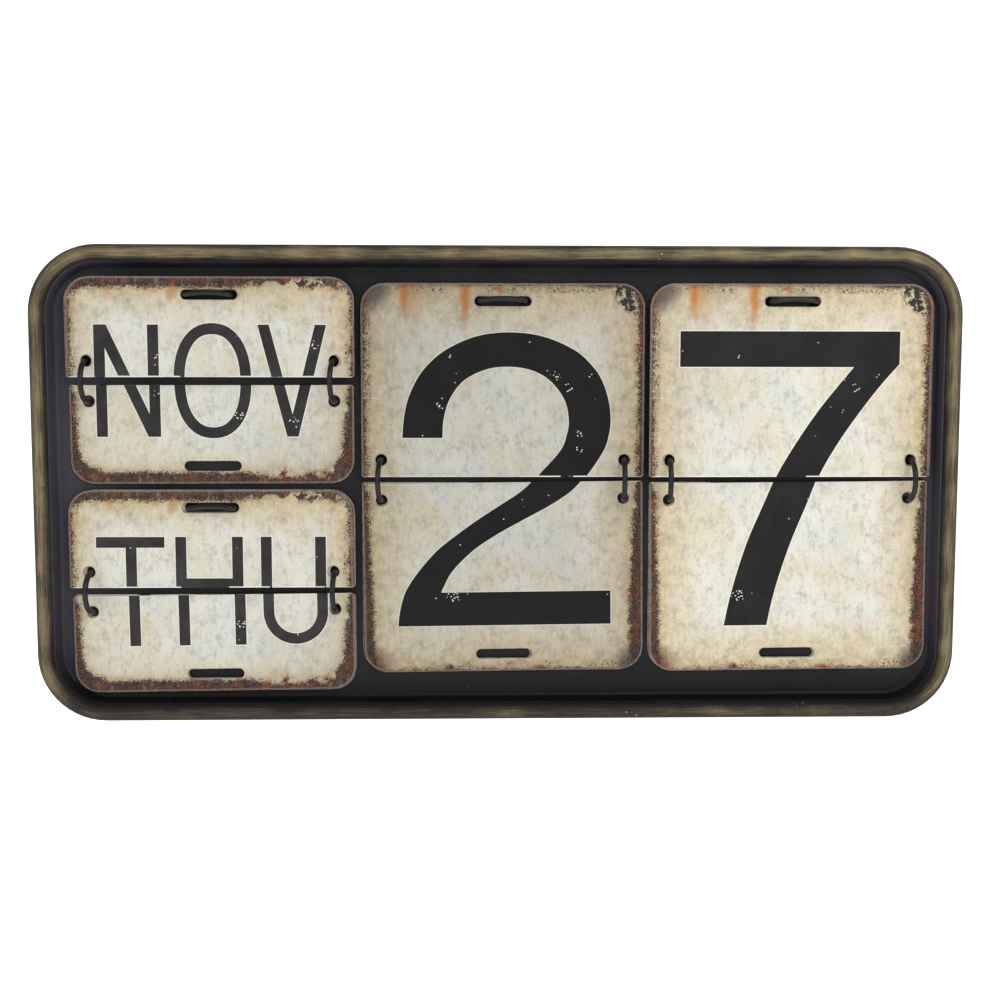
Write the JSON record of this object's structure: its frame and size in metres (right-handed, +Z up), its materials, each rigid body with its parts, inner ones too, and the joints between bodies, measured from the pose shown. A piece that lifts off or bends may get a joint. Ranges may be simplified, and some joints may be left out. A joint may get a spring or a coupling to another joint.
{
  "type": "wall flip calendar",
  "caption": "Shallow rolled-rim wall tray whose stacks of half-leaves flip over wire rings and catch loops to show month, weekday and date.",
  "frame": {"origin": "midway between the two hanging keyholes, on the wall plane", "axes": "+X to the viewer's right along the tray's length, +Y into the wall, +Z up"},
  "size_m": [0.6, 0.0253, 0.308],
  "materials": {
    "tray_black": "satin blue-black paint",
    "rim_bronze": "black paint dry-brushed with dull bronze",
    "leaf_enamel": "satin printed enamel, cream with rust stains and black numerals",
    "wire_black": "black powder-coated wire",
    "zinc_steel": "zinc-plated steel",
    "bumper_rubber": "matt"
  },
  "bodies": {
    "tray": {"tray_pan": "tray_black", "rim_bead": "rim_bronze", "hanger_left": "zinc_steel", "hanger_right": "zinc_steel", "wall_bumpers": "bumper_rubber", "month_fixed_top": "leaf_enamel", "month_fixed_bottom": "leaf_enamel", "month_ring_left": "wire_black", "month_ring_right": "wire_black", "month_catch_loop": "wire_black", "weekday_fixed_top": "leaf_enamel", "weekday_fixed_bottom": "leaf_enamel", "weekday_ring_left": "wire_black", "weekday_ring_right": "wire_black", "weekday_catch_loop": "wire_black", "tens_fixed_top": "leaf_enamel", "tens_fixed_bottom": "leaf_enamel", "tens_ring_left": "wire_black", "tens_ring_right": "wire_black", "tens_catch_loop": "wire_black", "ones_fixed_top": "leaf_enamel", "ones_fixed_bottom": "leaf_enamel", "ones_ring_left": "wire_black", "ones_ring_right": "wire_black", "ones_catch_loop": "wire_black"},
    "month_leaf_01": {"month_leaf_01": "leaf_enamel"},
    "month_leaf_02": {"month_leaf_02": "leaf_enamel"},
    "month_leaf_03": {"month_leaf_03": "leaf_enamel"},
    "month_leaf_04": {"month_leaf_04": "leaf_enamel"},
    "month_leaf_05": {"month_leaf_05": "leaf_enamel"},
    "month_leaf_06": {"month_leaf_06": "leaf_enamel"},
    "month_leaf_07": {"month_leaf_07": "leaf_enamel"},
    "month_leaf_08": {"month_leaf_08": "leaf_enamel"},
    "month_leaf_09": {"month_leaf_09": "leaf_enamel"},
    "month_leaf_10": {"month_leaf_10": "leaf_enamel"},
    "month_leaf_11": {"month_leaf_11": "leaf_enamel"},
    "weekday_leaf_1": {"weekday_leaf_1": "leaf_enamel"},
    "weekday_leaf_2": {"weekday_leaf_2": "leaf_enamel"},
    "weekday_leaf_3": {"weekday_leaf_3": "leaf_enamel"},
    "weekday_leaf_4": {"weekday_leaf_4": "leaf_enamel"},
    "weekday_leaf_5": {"weekday_leaf_5": "leaf_enamel"},
    "weekday_leaf_6": {"weekday_leaf_6": "leaf_enamel"},
    "tens_leaf_1": {"tens_leaf_1": "leaf_enamel"},
    "tens_leaf_2": {"tens_leaf_2": "leaf_enamel"},
    "tens_leaf_3": {"tens_leaf_3": "leaf_enamel"},
    "ones_leaf_1": {"ones_leaf_1": "leaf_enamel"},
    "ones_leaf_2": {"ones_leaf_2": "leaf_enamel"},
    "ones_leaf_3": {"ones_leaf_3": "leaf_enamel"},
    "ones_leaf_4": {"ones_leaf_4": "leaf_enamel"},
    "ones_leaf_5": {"ones_leaf_5": "leaf_enamel"},
    "ones_leaf_6": {"ones_leaf_6": "leaf_enamel"},
    "ones_leaf_7": {"ones_leaf_7": "leaf_enamel"},
    "ones_leaf_8": {"ones_leaf_8": "leaf_enamel"},
    "ones_leaf_9": {"ones_leaf_9": "leaf_enamel"}
  },
  "joints": [
    {"name": "month_leaf_01_hinge", "type": "hinge", "parent": "tray", "child": "month_leaf_01", "pos_m": [-0.18625, -0.01033, -0.02463], "axis": [1, 0, 0], "range_deg": [0, 180]},
    {"name": "month_leaf_02_hinge", "type": "hinge", "parent": "month_leaf_01", "child": "month_leaf_02", "pos_m": [-0.18625, -0.01033, -0.02463], "axis": [1, 0, 0], "range_deg": [0, 180]},
    {"name": "month_leaf_03_hinge", "type": "hinge", "parent": "month_leaf_02", "child": "month_leaf_03", "pos_m": [-0.18625, -0.01033, -0.02463], "axis": [1, 0, 0], "range_deg": [0, 180]},
    {"name": "month_leaf_04_hinge", "type": "hinge", "parent": "month_leaf_03", "child": "month_leaf_04", "pos_m": [-0.18625, -0.01033, -0.02463], "axis": [1, 0, 0], "range_deg": [0, 180]},
    {"name": "month_leaf_05_hinge", "type": "hinge", "parent": "month_leaf_04", "child": "month_leaf_05", "pos_m": [-0.18625, -0.01033, -0.02463], "axis": [1, 0, 0], "range_deg": [0, 180]},
    {"name": "month_leaf_06_hinge", "type": "hinge", "parent": "month_leaf_05", "child": "month_leaf_06", "pos_m": [-0.18625, -0.01033, -0.02463], "axis": [1, 0, 0], "range_deg": [0, 180]},
    {"name": "month_leaf_07_hinge", "type": "hinge", "parent": "month_leaf_06", "child": "month_leaf_07", "pos_m": [-0.18625, -0.01033, -0.02463], "axis": [1, 0, 0], "range_deg": [0, 180]},
    {"name": "month_leaf_08_hinge", "type": "hinge", "parent": "month_leaf_07", "child": "month_leaf_08", "pos_m": [-0.18625, -0.01033, -0.02463], "axis": [1, 0, 0], "range_deg": [0, 180]},
    {"name": "month_leaf_09_hinge", "type": "hinge", "parent": "month_leaf_08", "child": "month_leaf_09", "pos_m": [-0.18625, -0.01033, -0.02463], "axis": [1, 0, 0], "range_deg": [0, 180]},
    {"name": "month_leaf_10_hinge", "type": "hinge", "parent": "month_leaf_09", "child": "month_leaf_10", "pos_m": [-0.18625, -0.01033, -0.02463], "axis": [1, 0, 0], "range_deg": [0, 180]},
    {"name": "month_leaf_11_hinge", "type": "hinge", "parent": "tray", "child": "month_leaf_11", "pos_m": [-0.18625, -0.01033, -0.02463], "axis": [-1, 0, 0], "range_deg": [0, 180]},
    {"name": "weekday_leaf_1_hinge", "type": "hinge", "parent": "tray", "child": "weekday_leaf_1", "pos_m": [-0.18625, -0.01033, -0.16157], "axis": [1, 0, 0], "range_deg": [0, 180]},
    {"name": "weekday_leaf_2_hinge", "type": "hinge", "parent": "weekday_leaf_1", "child": "weekday_leaf_2", "pos_m": [-0.18625, -0.01033, -0.16157], "axis": [1, 0, 0], "range_deg": [0, 180]},
    {"name": "weekday_leaf_3_hinge", "type": "hinge", "parent": "weekday_leaf_2", "child": "weekday_leaf_3", "pos_m": [-0.18625, -0.01033, -0.16157], "axis": [1, 0, 0], "range_deg": [0, 180]},
    {"name": "weekday_leaf_4_hinge", "type": "hinge", "parent": "weekday_leaf_3", "child": "weekday_leaf_4", "pos_m": [-0.18625, -0.01033, -0.16157], "axis": [1, 0, 0], "range_deg": [0, 180]},
    {"name": "weekday_leaf_5_hinge", "type": "hinge", "parent": "weekday_leaf_6", "child": "weekday_leaf_5", "pos_m": [-0.18625, -0.01033, -0.16157], "axis": [-1, 0, 0], "range_deg": [0, 180]},
    {"name": "weekday_leaf_6_hinge", "type": "hinge", "parent": "tray", "child": "weekday_leaf_6", "pos_m": [-0.18625, -0.01033, -0.16157], "axis": [-1, 0, 0], "range_deg": [0, 180]},
    {"name": "tens_leaf_1_hinge", "type": "hinge", "parent": "tray", "child": "tens_leaf_1", "pos_m": [0.0022, -0.01033, -0.0886], "axis": [1, 0, 0], "range_deg": [0, 180]},
    {"name": "tens_leaf_2_hinge", "type": "hinge", "parent": "tens_leaf_1", "child": "tens_leaf_2", "pos_m": [0.0022, -0.01033, -0.0886], "axis": [1, 0, 0], "range_deg": [0, 180]},
    {"name": "tens_leaf_3_hinge", "type": "hinge", "parent": "tray", "child": "tens_leaf_3", "pos_m": [0.0022, -0.01033, -0.0886], "axis": [-1, 0, 0], "range_deg": [0, 180]},
    {"name": "ones_leaf_1_hinge", "type": "hinge", "parent": "tray", "child": "ones_leaf_1", "pos_m": [0.19065, -0.01033, -0.0886], "axis": [1, 0, 0], "range_deg": [0, 180]},
    {"name": "ones_leaf_2_hinge", "type": "hinge", "parent": "ones_leaf_1", "child": "ones_leaf_2", "pos_m": [0.19065, -0.01033, -0.0886], "axis": [1, 0, 0], "range_deg": [0, 180]},
    {"name": "ones_leaf_3_hinge", "type": "hinge", "parent": "ones_leaf_2", "child": "ones_leaf_3", "pos_m": [0.19065, -0.01033, -0.0886], "axis": [1, 0, 0], "range_deg": [0, 180]},
    {"name": "ones_leaf_4_hinge", "type": "hinge", "parent": "ones_leaf_3", "child": "ones_leaf_4", "pos_m": [0.19065, -0.01033, -0.0886], "axis": [1, 0, 0], "range_deg": [0, 180]},
    {"name": "ones_leaf_5_hinge", "type": "hinge", "parent": "ones_leaf_4", "child": "ones_leaf_5", "pos_m": [0.19065, -0.01033, -0.0886], "axis": [1, 0, 0], "range_deg": [0, 180]},
    {"name": "ones_leaf_6_hinge", "type": "hinge", "parent": "ones_leaf_5", "child": "ones_leaf_6", "pos_m": [0.19065, -0.01033, -0.0886], "axis": [1, 0, 0], "range_deg": [0, 180]},
    {"name": "ones_leaf_7_hinge", "type": "hinge", "parent": "ones_leaf_6", "child": "ones_leaf_7", "pos_m": [0.19065, -0.01033, -0.0886], "axis": [1, 0, 0], "range_deg": [0, 180]},
    {"name": "ones_leaf_8_hinge", "type": "hinge", "parent": "ones_leaf_9", "child": "ones_leaf_8", "pos_m": [0.19065, -0.01033, -0.0886], "axis": [-1, 0, 0], "range_deg": [0, 180]},
    {"name": "ones_leaf_9_hinge", "type": "hinge", "parent": "tray", "child": "ones_leaf_9", "pos_m": [0.19065, -0.01033, -0.0886], "axis": [-1, 0, 0], "range_deg": [0, 180]}
  ]
}
